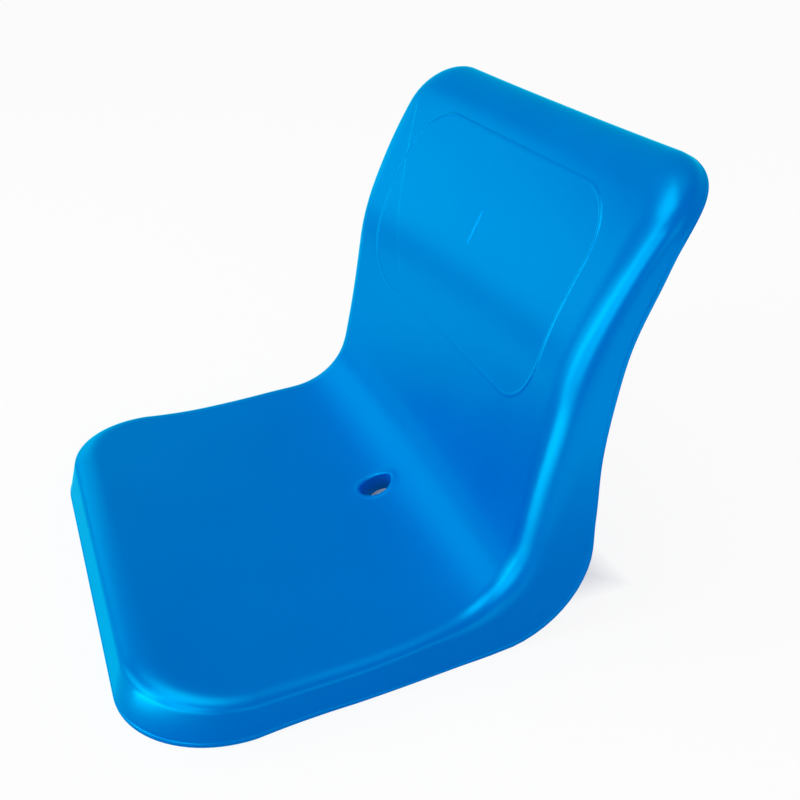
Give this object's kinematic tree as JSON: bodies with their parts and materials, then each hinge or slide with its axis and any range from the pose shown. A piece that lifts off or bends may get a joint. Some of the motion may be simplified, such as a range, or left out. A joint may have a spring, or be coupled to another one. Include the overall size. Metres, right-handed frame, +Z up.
{
  "type": "stadium seat",
  "caption": "One-piece moulded stadium seat shell with a dished pan, raked back, drain hole and threaded inserts underneath for bolting down.",
  "frame": {"origin": "centre of the footprint, on the plane of the flat skirt edge that the seat stands on", "axes": "+Z up, the sitter faces -Y, +X to the sitter's left"},
  "size_m": [0.4424, 0.4485, 0.3521],
  "materials": {
    "shell_plastic": "satin gloss, ultraviolet-stable moulded polypropylene, coloured right through",
    "insert_brass": "machined"
  },
  "bodies": {
    "root": {"seat_shell": "shell_plastic", "threaded_inserts": "insert_brass"}
  },
  "joints": []
}
